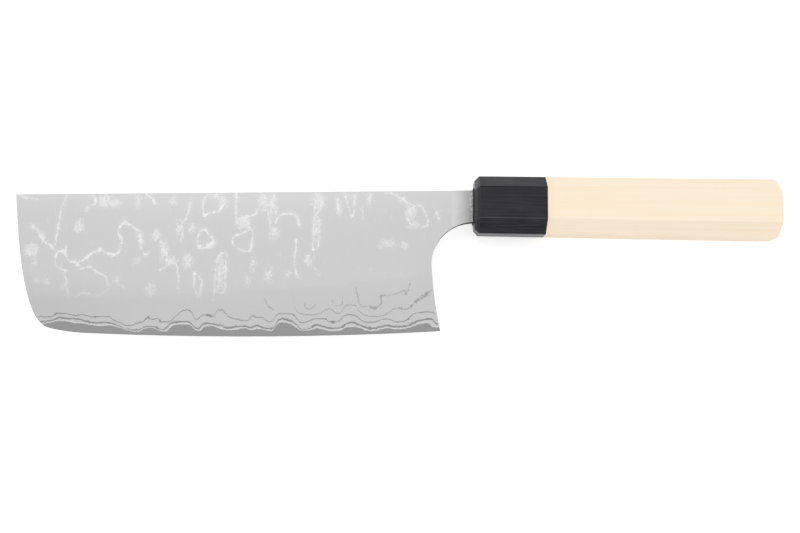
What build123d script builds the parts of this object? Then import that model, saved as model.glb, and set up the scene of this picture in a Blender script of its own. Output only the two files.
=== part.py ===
from build123d import *
import math
import os

# A Japanese vegetable knife (nakiri): a forge-laminated blade with a stick tang,
# seated in an octagonal wooden handle with a horn ferrule.
#
# Frame: the knife lies on its right side. +X runs along the handle towards the butt,
# +Y towards the spine, +Z up through the blade's thickness. z = 0 is the surface
# under the handle, and the origin is under the middle of the handle.
# The blade is drawn in its own frame: reach runs from the ferrule towards the toe,
# and depth runs from the spine towards the edge. All lengths are in millimetres.

# Blade outline
blade_reach = 184.6         # ferrule to the top corner of the toe, along the spine
blade_height = 58.0         # spine to the lowest point of the edge
edge_radius = 1420.0        # the edge is one long shallow arc
edge_low_reach = 80.0       # where that arc is lowest
toe_run = 31.0              # how far the rounded toe reaches back along the edge
heel_reach = 14.3           # ferrule to the heel corner
heel_bow = 0.55             # how far the back edge bows out of a straight line
choil_radius = 17.0         # finger notch between the neck and the back edge
choil_start = 0.5           # ferrule to where the notch's arc leaves the neck
neck_height = 13.0          # spine to the underside of the neck, at the ferrule
neck_reach = 9.0            # ferrule to the weld between tang and laminated steel
neck_seat = 4.5             # how far the full-height neck runs into the ferrule
spine_slope = 1.29          # degrees that the spine rises towards the handle
spine_above_axis = 6.25     # spine above the handle's axis, at the ferrule

# Blade thickness, as half of it on each side of the middle plane
spine_half = 1.35           # at the ferrule, before the neck thickens
neck_half = 1.9             # at the end of the neck, inside the ferrule
toe_loss = 0.41             # thinner by this at the toe
edge_loss = 0.35            # thinner by this from the spine to the edge, before grinding
edge_half = 0.05            # the sharpened edge
sharpened_rise = 0.8        # height of the small final bevel above the edge
sharpened_half = 0.17       # half thickness at its top
ground_rise = 20.0          # height at which the long ground bevel is measured
ground_half = 1.0           # half thickness that the bevel would have there

# Flat joints between the forged layers, as distances from the middle plane
core_half = 0.16
inner_half = 0.28
middle_half = 0.40

# Where each forged layer comes out on the ground bevel: crests and dips of its wavy end,
# as (share of the blade's reach, share of the ground rise). Arcs join one to the next.
core_shares = [
    (0.000, 0.100), (0.094, 0.080), (0.102, 0.165), (0.117, 0.175), (0.168, 0.080),
    (0.195, 0.110), (0.225, 0.075), (0.268, 0.160), (0.303, 0.085), (0.343, 0.145),
    (0.371, 0.105), (0.412, 0.270), (0.447, 0.100), (0.498, 0.165), (0.526, 0.125),
    (0.571, 0.205), (0.596, 0.100), (0.631, 0.230), (0.671, 0.075), (0.700, 0.140),
    (0.730, 0.065), (0.789, 0.165), (0.810, 0.150), (0.887, 0.210), (1.060, 0.120),
]
inner_shares = [
    (0.000, 0.330), (0.114, 0.395), (0.165, 0.225), (0.194, 0.290), (0.226, 0.235),
    (0.271, 0.400), (0.314, 0.260), (0.343, 0.340), (0.373, 0.270), (0.408, 0.450),
    (0.445, 0.285), (0.478, 0.420), (0.499, 0.320), (0.551, 0.530), (0.601, 0.330),
    (0.624, 0.515), (0.669, 0.270), (0.706, 0.360), (0.750, 0.220), (0.793, 0.345),
    (1.060, 0.260),
]
middle_shares = [
    (0.000, 0.860), (0.085, 0.840), (0.218, 0.365), (0.276, 0.595), (0.365, 0.440),
    (0.412, 0.675), (0.447, 0.490), (0.477, 0.610), (0.509, 0.510), (0.552, 0.715),
    (0.588, 0.570), (0.623, 0.710), (0.669, 0.450), (0.704, 0.550), (0.748, 0.400),
    (0.791, 0.530), (1.060, 0.420),
]
right_shift_share = 0.035   # the right side's waves lie this much nearer the toe

# The toe's curve: (share of the blade's height set back, share of it down)
toe_shares = [
    (0.040, 0.364), (0.115, 0.720), (0.160, 0.832), (0.225, 0.911), (0.320, 0.942),
]

# Handle, an octagon that swells towards the butt
handle_length = 121.3       # ferrule front to butt
ferrule_length = 28.4
front_height = 23.2
butt_height = 24.1
front_width = 19.2
butt_width = 20.2
corner_height = 5.4         # what each sloping facet takes off the height
corner_width = 5.8          # and off the width
arris_radius = 0.6          # softened long edges
ferrule_chamfer = 1.8
butt_round = 1.8            # softened edges of the butt

# Inside the handle
dowel_radius = 6.5          # a wooden dowel lines the ferrule up with the handle
dowel_in_body = 24.0
ferrule_wall = 5.0          # horn left in front of the dowel
bore_clearance = 0.1
bore_end_gap = 0.4
tang_in_handle = 84.0       # ferrule front to the end of the tang
tang_root_height = 9.0
tang_end_height = 5.0
tang_half = 1.2             # half the tang's thickness
channel_clearance = 0.5     # glue all round the tang
slot_clearance = 0.35       # sealant all round the neck
bead_proud = 0.5            # the sealant's bead stands out of the ferrule
bead_spread = 0.25          # and covers this much more around the slot

overrun = 4.0               # how far cutting solids run past what they cut
lengthwise_share = 0.9      # an edge is lengthwise if its direction is this much along X

middle_z = butt_width / 2
ferrule_x = -handle_length / 2


def blade_point(reach, depth):
    """A point of the blade's outline, in the blade's own frame."""
    return (-reach, -depth)


def edge_depth(reach):
    """Depth of the edge's arc below the spine."""
    run = reach - edge_low_reach
    return blade_height - edge_radius + math.sqrt(edge_radius**2 - run**2)


def ground_thickness(rise):
    """Half thickness of the ground bevel at a height above the edge."""
    slope = (ground_half - sharpened_half) / (ground_rise - sharpened_rise)
    return sharpened_half + slope * (rise - sharpened_rise)


def face_plane(side):
    """Plane of one flat face: side is 1 on the left, -1 on the right."""
    toe_fall = toe_loss / blade_reach
    edge_fall = edge_loss / blade_height
    return Plane(origin=(0, 0, side * spine_half), z_dir=(-toe_fall, -edge_fall, side))


def blade_outline():
    """Outline of blade and neck, from the seat in the ferrule round to the toe."""
    toe_end_reach = blade_reach - toe_run
    toe = [
        blade_point(blade_reach - back * blade_height, down * blade_height)
        for back, down in toe_shares
    ]
    toe_end = blade_point(toe_end_reach, edge_depth(toe_end_reach))
    heel = blade_point(heel_reach, edge_depth(heel_reach))
    choil_back = blade_point(choil_start + choil_radius, neck_height + choil_radius)
    choil_turn = choil_radius * math.sqrt(1 / 2)
    choil_middle = blade_point(
        choil_start + choil_turn, neck_height + choil_radius - choil_turn
    )
    choil_front = blade_point(choil_start, neck_height)
    heel_middle = (
        (heel[0] + choil_back[0]) / 2 - heel_bow,
        (heel[1] + choil_back[1]) / 2,
    )
    seat_top = blade_point(-neck_seat, 0)
    seat_bottom = blade_point(-neck_seat, neck_height)
    lowest = blade_point(edge_low_reach, blade_height)
    edge_run = toe_end_reach - edge_low_reach
    edges = [
        Line(seat_top, blade_point(blade_reach, 0)),
        Spline(
            blade_point(blade_reach, 0), *toe, toe_end,
            tangents=[(toe_shares[0][0], -toe_shares[0][1]), (edge_radius, -edge_run)],
        ),
        ThreePointArc(toe_end, lowest, heel),
        ThreePointArc(heel, heel_middle, choil_back),
        ThreePointArc(choil_back, choil_middle, choil_front),
        Line(choil_front, seat_bottom),
        Line(seat_bottom, seat_top),
    ]
    return make_face(edges)


def ground_body():
    """Body of revolution that grinds both bevels, about the centre of the edge's arc.

    Its small bevels meet in a point a little beyond the edge, so that the blade's own
    outline cuts them off and no two faces coincide there.
    """
    reach_in = blade_height + overrun
    wide = ground_thickness(reach_in)
    beyond = edge_half * sharpened_rise / (sharpened_half - edge_half)
    section = make_face(
        Polyline(
            (edge_radius + beyond, 0),
            (edge_radius - sharpened_rise, sharpened_half),
            (edge_radius - reach_in, wide),
            (edge_radius - reach_in, -wide),
            (edge_radius - sharpened_rise, -sharpened_half),
            close=True,
        )
    )
    # The section stands away from the blade, so that the seam misses it.
    upright = Plane(origin=(0, 0, 0), x_dir=(0, 1, 0), z_dir=(1, 0, 0)) * section
    body = revolve(upright, axis=Axis.Z)
    return Pos(-edge_low_reach, edge_radius - blade_height, 0) * body


def ground_blade():
    """The whole blade as one ground body, before it is told apart in layers."""
    blank = extrude(blade_outline(), amount=spine_half + overrun, both=True)
    for side in (1, -1):
        blank = split(blank, bisect_by=face_plane(side), keep=Keep.BOTTOM)
    return blank & ground_body()


def layer_end(shares, side):
    """Wavy end of a layer on one side: from crest to dip and back, in pairs of arcs."""
    shift = right_shift_share if side < 0 else 0
    turns = []
    for reach, rise in shares:
        run = (reach + (shift if reach > 0 else 0)) * blade_reach
        turns.append(Vector(*blade_point(run, edge_depth(run) - rise * ground_rise)))
    arcs = []
    for start, end in zip(turns, turns[1:]):
        halfway = (start + end) / 2
        along = Vector(end.X - start.X, 0)
        arcs.append(TangentArc(start, halfway, tangent=along))
        arcs.append(TangentArc(end, halfway, tangent=-along))
    return arcs


def layer_zone(shares, half, side):
    """Everything outside a flat joint, from a layer's wavy end up past the spine."""
    wave = layer_end(shares, side)
    heel_end = wave[0] @ 0
    toe_end = wave[-1] @ 0
    heel_top = Vector(heel_end.X, overrun)
    toe_top = Vector(toe_end.X, overrun)
    sides = [Line(toe_end, toe_top), Line(toe_top, heel_top), Line(heel_top, heel_end)]
    block = extrude(make_face([*wave, *sides]), amount=overrun, both=True)
    return Pos(0, 0, side * (half + overrun)) * block


def weld_plane():
    """Where the laminated blade ends and the tang's plain steel begins."""
    return Plane(origin=(-neck_reach, 0, 0), z_dir=(1, 0, 0))


def laminate():
    """The laminated blade's layers, by name."""
    blade = split(ground_blade(), bisect_by=weld_plane(), keep=Keep.BOTTOM)
    layers = {"core_steel": blade}
    for name, side in (("left", 1), ("right", -1)):
        inner = layer_zone(core_shares, core_half, side)
        middle = layer_zone(inner_shares, inner_half, side)
        outer = layer_zone(middle_shares, middle_half, side)
        layers["core_steel"] -= inner
        layers[f"{name}_inner_cladding"] = (blade & inner) - middle
        layers[f"{name}_middle_cladding"] = (blade & middle) - outer
        layers[f"{name}_outer_cladding"] = blade & outer
    return layers


def neck():
    """The full-height neck, which thickens from the weld to its end in the ferrule."""
    weld_half = spine_half - toe_loss / blade_reach * neck_reach
    spread = (neck_half - weld_half) / (neck_reach + neck_seat)
    edge_fall = edge_loss / blade_height
    blank = extrude(blade_outline(), amount=neck_half + overrun, both=True)
    blank = split(blank, bisect_by=weld_plane(), keep=Keep.TOP)
    for side in (1, -1):
        start = (-neck_reach, 0, side * weld_half)
        face = Plane(origin=start, z_dir=(-spread, -edge_fall, side))
        blank = split(blank, bisect_by=face, keep=Keep.BOTTOM)
    return blank


def seat_blade(shape):
    """Carry a shape from the blade's frame to its place at the ferrule."""
    return Pos(ferrule_x, spine_above_axis, middle_z) * Rot(0, 0, spine_slope) * shape


def seat_handle(shape):
    """Carry a shape drawn along the handle's axis, from the ferrule's front, to its place."""
    return Pos(ferrule_x, 0, middle_z) * shape


def handle_block(start, end):
    """Everything between two upright planes across the handle."""
    across = front_height + butt_height
    return Pos((start + end) / 2, 0, 0) * Box(end - start, across, across)


def facet_planes():
    """Planes of the handle's eight facets, which spread a little towards the butt."""
    rise = (butt_height - front_height) / 2 / handle_length
    spread = (butt_width - front_width) / 2 / handle_length
    planes = []
    for up in (1, -1):
        planes.append(Plane(origin=(0, up * front_height / 2, 0), z_dir=(-rise, up, 0)))
        planes.append(Plane(origin=(0, 0, up * front_width / 2), z_dir=(-spread, 0, up)))
        for out in (1, -1):
            corner = (0, up * (front_height / 2 - corner_height), out * front_width / 2)
            along = Vector(1, up * rise, out * spread)
            across = Vector(0, up * corner_height, -out * corner_width)
            planes.append(Plane(origin=corner, z_dir=across.cross(along) * (-up * out)))
    return planes


def planed_block(start, end):
    """A stretch of square block, planed down to the tapering octagon."""
    block = handle_block(start, end)
    for plane in facet_planes():
        block = split(block, bisect_by=plane, keep=Keep.BOTTOM)
    return block


def lengthwise(shape):
    """The long edges between the facets."""
    return shape.edges().filter_by(lambda edge: abs((edge % 0).X) > lengthwise_share)


def cross_rod(radius, start, end):
    """A rod along the handle's axis, between two upright planes across the handle."""
    length = end - start
    return Pos((start + end) / 2, 0, 0) * Rot(0, 90, 0) * Cylinder(radius, length)


def tang_blank(clearance):
    """The stick tang behind the neck, or with a clearance the channel that holds it."""
    root = tang_root_height / 2 + clearance
    end = tang_end_height / 2 + clearance
    outline = Polyline(
        (neck_seat, root), (tang_in_handle + clearance, end),
        (tang_in_handle + clearance, -end), (neck_seat, -root),
        close=True,
    )
    return extrude(make_face(outline), amount=tang_half + clearance, both=True)


def slot_fill(clearance, start, end):
    """The space round the neck, between two upright planes across the handle."""
    height = neck_height + 2 * clearance
    width = 2 * (neck_half + clearance)
    reach = end - start + 2 * overrun
    bar = Pos((start + end) / 2, -neck_height / 2, 0) * Box(reach, height, width)
    return seat_blade(bar) & seat_handle(handle_block(start, end))


def tang():
    """The soft steel tang: the neck in front, welded to the blade, and the stick."""
    return seat_blade(neck()) + seat_handle(tang_blank(0))


def ferrule():
    """The horn ferrule: a chamfered octagon, slotted for the neck and bored behind."""
    body = planed_block(0, ferrule_length)
    front = body.faces().sort_by(Axis.X)[0]
    body = chamfer(front.edges(), length=ferrule_chamfer)
    body = fillet(lengthwise(body), radius=arris_radius)
    bore = cross_rod(dowel_radius + bore_clearance, ferrule_wall, ferrule_length + overrun)
    return seat_handle(body - bore) - slot_fill(slot_clearance, -overrun, ferrule_wall)


def handle_body():
    """The wooden handle: the octagon's long stretch, bored for dowel and tang."""
    body = planed_block(ferrule_length, handle_length)
    body = fillet(lengthwise(body), radius=arris_radius)
    butt = body.faces().sort_by(Axis.X)[-1]
    body = fillet(butt.edges(), radius=butt_round)
    bore_end = ferrule_length + dowel_in_body + bore_end_gap
    bore = cross_rod(dowel_radius + bore_clearance, ferrule_length - overrun, bore_end)
    return seat_handle(body - bore - tang_blank(channel_clearance))


def dowel():
    """The dowel that joins ferrule and handle, with the tang's channel through it."""
    start = ferrule_wall + bore_clearance
    rod = cross_rod(dowel_radius, start, ferrule_length + dowel_in_body)
    return seat_handle(rod - tang_blank(channel_clearance))


def tang_bedding():
    """The glue that fills the channel round the tang, behind the ferrule's wall."""
    fill = tang_blank(channel_clearance) - tang_blank(0)
    start = ferrule_wall + bore_clearance
    return seat_handle(fill & handle_block(start, handle_length))


def entry_sealant(tang_solid):
    """The black sealant in the ferrule's slot, with a bead round the neck."""
    fill = slot_fill(slot_clearance, 0, ferrule_wall)
    bead = slot_fill(slot_clearance + bead_spread, -bead_proud, 0)
    return fill + bead - tang_solid


def main():
    os.makedirs("parts", exist_ok=True)
    parts = {name: seat_blade(solid) for name, solid in laminate().items()}
    tang_solid = tang()
    parts["tang"] = tang_solid
    parts["ferrule"] = ferrule()
    parts["handle_body"] = handle_body()
    parts["dowel"] = dowel()
    parts["tang_bedding"] = tang_bedding()
    parts["entry_sealant"] = entry_sealant(tang_solid)
    for name, solid in parts.items():
        export_step(solid, f"parts/{name}.step")


main()
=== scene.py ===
"""A vegetable knife with a laminated blade, dressed and lit for its photograph.

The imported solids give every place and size. The blade's layers keep their solids, except the
two outer ones, which are divided finely so that the forged pattern can lie on them.
"""

import logging
import math
from dataclasses import dataclass
from enum import Enum

import bpy
import numpy as np
from mathutils import Matrix, Vector, noise


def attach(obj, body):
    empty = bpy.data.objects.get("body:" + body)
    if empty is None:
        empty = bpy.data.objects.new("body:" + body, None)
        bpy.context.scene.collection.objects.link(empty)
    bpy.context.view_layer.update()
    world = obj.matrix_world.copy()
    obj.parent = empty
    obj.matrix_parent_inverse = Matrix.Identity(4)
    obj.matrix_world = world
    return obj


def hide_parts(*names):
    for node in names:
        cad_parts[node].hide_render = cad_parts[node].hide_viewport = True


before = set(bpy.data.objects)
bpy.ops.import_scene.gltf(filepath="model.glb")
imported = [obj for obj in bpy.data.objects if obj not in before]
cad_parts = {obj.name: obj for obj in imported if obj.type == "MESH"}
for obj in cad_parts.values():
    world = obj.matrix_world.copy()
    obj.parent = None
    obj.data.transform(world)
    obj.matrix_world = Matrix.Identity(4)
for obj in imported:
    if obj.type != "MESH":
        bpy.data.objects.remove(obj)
LOG = logging.getLogger("knife")
MM = 0.001
FAR_AWAY = 1e3
SHORTEST = 1e-12
Socket = bpy.types.NodeSocket
# Column and row in the photograph
Pixel = tuple[float, float]
# Where an effect begins and where it is whole
Zone = tuple[float, float]
# Red, green and blue in linear light
Colour = tuple[float, float, float]
# Start, end and half width of a line's straight bit
Stretch = tuple[np.ndarray, np.ndarray, float]


def from_screen(red: int, green: int, blue: int) -> Colour:
    """Turn a colour as a screen shows it into the linear one that shaders take.

    Args:
        red: Red from 0 to 255.
        green: Green from 0 to 255.
        blue: Blue from 0 to 255.

    Returns:
        The same colour in linear light.
    """
    full, toe, slope, offset, power = 255, 0.04045, 12.92, 0.055, 2.4

    def linear(value: int) -> float:
        """One channel in linear light."""
        share = value / full
        return share / slope if share <= toe else ((share + offset) / (1 + offset)) ** power

    return linear(red), linear(green), linear(blue)


class Side(Enum):
    """The two sides of the blade."""

    LEFT = 1
    RIGHT = -1


@dataclass(frozen=True)
class BladeFrame:
    """Where the blade's own frame stands: reach runs to the toe and depth to the edge."""

    ferrule_front: float = -60.65
    spine_above_axis: float = 6.25
    spine_slope: float = 1.29
    middle: float = 10.1
    edge_radius: float = 1420.0
    blade_height: float = 58.0
    edge_low_reach: float = 80.0
    right_shift: float = 6.46

    def rise_of(self, reach: float, depth: float) -> float:
        """Height above the edge of a place given by reach and depth, all in millimetres."""
        across = self.edge_radius - self.blade_height + depth
        return self.edge_radius - math.hypot(self.edge_low_reach - reach, across)

    def to_blade(self, points: np.ndarray) -> np.ndarray:
        """Turn points of the row frame into reach and depth.

        Args:
            points: One point a row, in metres.

        Returns:
            Reach and depth of each point, in millimetres.
        """
        turn = math.radians(self.spine_slope)
        x = points[:, 0] / MM - self.ferrule_front
        y = points[:, 1] / MM - self.spine_above_axis
        reach = -(x * math.cos(turn) + y * math.sin(turn))
        depth = x * math.sin(turn) - y * math.cos(turn)
        return np.column_stack([reach, depth])


BLADE = BladeFrame()


@dataclass(frozen=True)
class PhotoView:
    """The camera of the photograph, and the way from its pixels to the blade."""

    width: float = 800.0
    height: float = 533.0
    focal_pixels: float = 900.0
    distance: float = 360.0
    tilt: float = 7.6
    roll: float = 0.83
    target: tuple[float, float, float] = (-90.05, -24.9, 10.1)
    face_above_middle: float = 1.0
    sensor: float = 36.0
    nearest: float = 0.01

    def axes(self) -> tuple[Vector, Vector, Vector]:
        """The camera's right, up and backward directions."""
        tilt = math.radians(self.tilt)
        roll = math.radians(self.roll)
        along = Vector((1, 0, 0))
        across = Vector((0, math.cos(tilt), math.sin(tilt)))
        right = math.cos(roll) * along + math.sin(roll) * across
        up = math.cos(roll) * across - math.sin(roll) * along
        return right, up, right.cross(up)

    def place(self) -> Vector:
        """Where the camera stands, in millimetres."""
        return Vector(self.target) + self.axes()[2] * self.distance

    def on_blade(self, pixel: Pixel) -> np.ndarray:
        """Find what a pixel of the photograph shows on the blade's left face.

        Args:
            pixel: Column and row in the photograph.

        Returns:
            Reach and depth of that place, in millimetres.
        """
        right, up, back = self.axes()
        column = (pixel[0] - self.width / 2) / self.focal_pixels
        row = (pixel[1] - self.height / 2) / self.focal_pixels
        ray = right * column - up * row - back
        start = self.place()
        span = (BLADE.middle + self.face_above_middle - start.z) / ray.z
        return BLADE.to_blade(np.array([start + ray * span]) * MM)[0]

    def build(self) -> None:
        """Make the camera and hand it to the scene."""
        data = bpy.data.cameras.new("photo_camera")
        data.sensor_fit = "HORIZONTAL"
        data.sensor_width = self.sensor
        data.lens = data.sensor_width * self.focal_pixels / self.width
        data.clip_start = self.nearest
        camera = bpy.data.objects.new("photo_camera", data)
        bpy.context.scene.collection.objects.link(camera)
        right, up, back = self.axes()
        turned = Matrix((right, up, back)).transposed().to_4x4()
        camera.matrix_world = Matrix.Translation(self.place() * MM) @ turned
        bpy.context.scene.camera = camera
        LOG.info("camera placed at %s mm", tuple(round(value, 1) for value in self.place()))


VIEW = PhotoView()


@dataclass(frozen=True)
class Vein:
    """A line of the forged pattern, through places in the photograph.

    Its width, and the half width of each knot after the knot's place, are in millimetres.
    """

    points: tuple[Pixel, ...]
    width: float = 0.45
    closed: bool = False
    knots: tuple[tuple[float, float, float], ...] = ()


# The bright lines, mostly from the toe to the heel; the last is a painted highlight on the spine at the toe
VEINS = (
    Vein(((66, 195), (63, 205), (59, 221), (57, 234), (55, 244)), 0.4),
    Vein(
        ((31, 225), (36, 229), (41, 235), (44, 242), (49, 244), (53, 249)),
        0.6, knots=((33, 226.5, 0.7), (41, 235, 1.0), (42.5, 239, 0.8), (51.5, 247, 0.5)),
    ),
    Vein(
        ((66, 245), (65, 251), (59, 251), (54, 261), (57, 267), (64, 270), (65, 275), (66, 284), (69, 299)),
        knots=((62, 251, 0.75), (65, 252, 0.7), (61, 269.5, 0.5), (65, 270.5, 0.6)),
    ),
    Vein(
        (
            (65, 253), (69, 261), (80, 262), (86, 257), (92, 253), (98, 250), (106, 252), (114, 255),
            (119, 251), (122, 245), (121, 237), (118, 235), (119, 229), (123, 223), (126, 221), (131, 225),
            (136, 230), (140, 234), (141, 241), (141, 248), (145, 255), (148, 252),
        ),
        0.5,
        knots=(
            (71, 261.5, 0.6), (74, 261.5, 0.75), (77.5, 265, 0.6), (86.5, 257.4, 0.75), (88.5, 256, 0.5),
            (98.8, 249.8, 0.8), (113.5, 254.5, 0.7), (118.5, 235, 0.65), (120.7, 238, 0.75),
            (121.5, 243, 0.6), (125.8, 222.4, 0.7), (128.5, 224, 0.5), (137.5, 230.5, 0.7), (140, 236, 0.9),
            (140.6, 240.6, 0.9),
        ),
    ),
    Vein(((93, 195), (96, 199), (94, 205)), knots=((95.5, 201, 0.6), (94, 205, 0.4))),
    Vein(
        (
            (80, 269), (89, 267), (98, 272), (106, 277), (107, 282), (109, 288), (104, 291), (99, 296),
            (84, 293), (76, 296),
        ),
        0.5,
    ),
    Vein(((114, 281), (120, 285), (126, 289)), 0.35),
    Vein(
        ((155, 233), (161, 242), (166, 253), (171, 261), (176, 264), (178, 272), (178, 288)),
        knots=(
            (155.5, 232, 0.6), (161, 242, 0.7), (163, 250, 0.6), (166, 254, 1.0), (167, 259, 0.9),
            (173, 262, 0.7),
        ),
    ),
    Vein(((160, 270), (167, 266)), 0.45),
    Vein(((146, 194), (153, 199), (155, 204)), knots=((154, 201.5, 0.6),)),
    Vein(((191, 197), (189, 208), (186, 218), (182, 224), (182, 231), (181, 242)), 0.42),
    Vein(
        (
            (208, 194), (204, 199), (203, 208), (204, 216), (210, 213), (218, 211), (223, 205), (226, 201),
            (221, 199), (216, 194),
        ),
        0.5, knots=((205, 215.5, 0.7), (218, 211.5, 0.6), (222, 207, 0.7)),
    ),
    Vein(
        ((204, 229), (199, 234), (198, 242), (199, 248), (206, 247), (213, 245), (214, 241), (209, 234)),
        0.48, closed=True,
        knots=(
            (205.4, 229.5, 0.6), (201, 246, 0.6), (208, 246, 0.95), (211, 245, 0.9), (213.5, 242, 0.9),
            (212, 238, 0.6),
        ),
    ),
    Vein(((194, 273), (194, 283), (198, 297), (202, 283), (198, 275)), 0.5, knots=((195, 273.5, 0.6),)),
    Vein(
        ((221, 253), (217, 262), (215, 275), (215, 290), (224, 292), (225, 275), (226, 256)),
        0.55, closed=True,
    ),
    Vein(((214, 290), (213, 301)), 0.35),
    Vein(((237, 193), (236, 208), (237, 220)), 0.5, knots=((236.5, 198, 0.5),)),
    Vein(((258, 208), (256, 214), (250, 216), (246, 218), (240, 219)), 0.5, knots=((246, 217, 0.5),)),
    Vein(
        (
            (249, 226), (253, 233), (252, 242), (250, 251), (241, 250), (235, 246), (233, 240), (236, 235),
            (242, 233), (249, 230),
        ),
        0.5, closed=True, knots=((250, 250.5, 0.5), (252.5, 230, 0.5)),
    ),
    Vein(((268, 210), (270, 220), (271, 228), (274, 232)), 0.5),
    Vein(((274, 194), (275, 203), (276, 213)), 0.45),
    Vein(((276, 224), (279, 216), (290, 214), (297, 216), (299, 226)), 0.48, knots=((289.5, 213.5, 0.4),)),
    Vein(((296, 240), (295, 255), (295, 267), (298, 277)), 0.45),
    Vein(((308, 261), (314, 268), (319, 275)), 0.35),
    Vein(((316, 192), (323, 204), (316, 215), (314, 222), (313, 234), (313, 250)), 0.5),
    Vein(((319, 218), (319, 234), (318, 246), (313, 250)), 0.5),
    Vein(((338, 199), (339, 215)), 0.55, knots=((338.5, 205, 0.5),)),
    Vein(((345, 194), (352, 218), (355, 194)), 0.45),
    Vein(((371, 194), (369, 203)), 0.55, knots=((369.5, 200, 0.5),)),
    Vein(((363, 207), (363, 222)), 0.35),
    Vein(
        (
            (386, 193), (395, 195), (403, 200), (408, 203), (415, 206), (422, 207), (425, 212), (427, 220),
            (427, 227), (412, 225), (408, 219), (406, 211),
        ),
        0.5, knots=((404, 199, 0.7), (407.5, 203, 0.5), (419, 206, 0.5)),
    ),
    Vein(((435, 208), (439, 219)), 0.5, knots=((437, 213.5, 0.7),)),
    # Painted highlight: a bright streak along the spine near the toe
    Vein(((18, 195.5), (27, 197.5), (38, 199)), 0.4),
)

# The mottled patches: middle, half width and half height in the photograph
PATCHES = (
    (31.5, 250, 8, 8), (33, 227, 4, 3), (35, 262, 3, 5), (36, 281, 3, 4), (47, 282, 4, 3), (62, 287, 4, 4),
    (78.5, 226, 6, 8), (87, 210, 3, 4), (105, 201, 7, 8), (115, 203, 8, 5), (138.5, 200, 3, 9),
    (137.5, 260, 4, 4), (141, 239, 3, 7), (156, 235, 5, 7), (116, 281, 4, 5), (150, 290, 6, 7),
    (173, 201, 4, 6), (192, 228, 4, 5), (179, 228, 4, 8), (164, 252, 5, 12), (171, 261, 7, 6),
    (222, 201, 6, 8), (215, 196, 4, 4), (209, 245, 7, 4), (188, 261, 6, 9), (220, 272, 6, 21),
    (243, 222, 9, 8), (264, 202, 6, 11), (272, 205, 5, 11), (274, 232, 6, 8), (253, 264, 4, 8),
    (248, 280, 4, 5), (269, 275, 4, 9), (288, 274, 4, 5), (308, 260, 5, 7), (318, 202, 7, 10),
    (316, 228, 5, 18), (339, 206, 3, 9), (353, 197, 4, 5), (369, 199, 3, 6), (403, 200, 5, 4),
    (411, 211, 6, 8), (414, 225, 7, 5), (387, 244, 9, 5), (404, 246, 4, 4),
)

# The dark marks between the layer lines
DARK_CURLS = (
    Vein(
        ((356, 287), (358, 300), (362, 306), (371, 306), (375, 308), (381, 304), (381, 296), (386, 295)),
        0.45,
    ),
    Vein(((370.5, 307), (376, 308)), 1.0),
    Vein(((386, 296), (398, 293), (403, 290), (406, 294), (410, 283)), 0.4),
    Vein(((404, 291), (406, 295)), 0.6),
    Vein(((304, 303), (306, 308), (310, 309), (315, 305)), 0.4),
    Vein(((332, 299), (334, 304), (338, 306), (342, 304), (343, 297)), 0.35),
    Vein(((264.5, 297.5), (266.5, 303), (269, 307.5), (274, 309.5), (279, 306)), 0.4),
    Vein(((268, 306.5), (271, 308)), 0.7),
    Vein(((244.5, 312.5), (250.5, 305.5)), 0.3),
    Vein(((118.2, 313), (119, 315)), 0.5),
)

# The dark lines where the layers end, and the core's own line, from the toe to the heel
FIRST_LINE = (
    (38, 322), (45, 321.2), (50, 320.6), (54, 319.8), (57, 318.2), (60, 317.4), (67, 318.3), (74, 318.6),
    (80, 319.6), (85, 321.3), (90, 322.2), (100, 322.4), (106, 322.4), (117, 325.5), (128, 329.6),
    (137, 330), (145, 327), (154, 327), (160, 330), (168, 325), (176, 322), (187, 321.4), (192, 324.5),
    (198, 328.6), (204, 323), (213, 324), (221.5, 325.5), (225.6, 327.6), (236, 326.5), (244, 326),
    (250, 327.6), (256, 325.5), (262.6, 328), (271, 328.6), (276, 323.5), (281, 318.8), (289, 320.4),
    (296, 324), (303.6, 329.6), (309, 328.6), (317, 325), (324, 326.7), (334, 328.3), (341.6, 327),
    (351, 322.3), (357, 324), (364.5, 326.7), (373, 328.3), (386, 325.6), (397, 326.7), (406, 326),
    (414.6, 322.3), (423, 319.6), (429, 319), (433.5, 320), (434.5, 322.5), (437.5, 323.8),
)
SECOND_LINE = (
    (38, 316.3), (52, 316.3), (54, 313.7), (64, 313.2), (74, 315.3), (82, 314.7), (92, 316.8), (107, 316.3),
    (113.6, 320.4), (121, 323), (127, 325.5), (133, 324.5), (137, 322.4), (144, 321.4), (147, 316.8),
    (151.5, 319.4), (157, 318.3), (159, 321), (165, 322), (174, 317.3), (180.5, 312), (187, 310),
    (192, 312), (196.4, 319.4), (201, 315.8), (205, 314.7), (213, 316.3), (216, 311.7), (220.5, 309.6),
    (225.6, 314), (231, 317.8), (238, 319.4), (245, 320.4), (249, 319.4), (253, 315.3), (256, 317.3),
    (262.6, 317.3), (269, 322), (273, 320.4), (279, 313.7), (291, 313.7), (297, 319.4), (302.6, 322.4),
    (310, 320.3), (316.5, 318.5), (326, 319), (329.6, 322.3), (339, 320.7), (347, 314.7), (356, 315.8),
    (362, 320.7), (371, 322.3), (386, 319), (399, 321.8), (408, 319), (418, 312.5), (429, 312),
    (435, 313.6),
)
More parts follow.
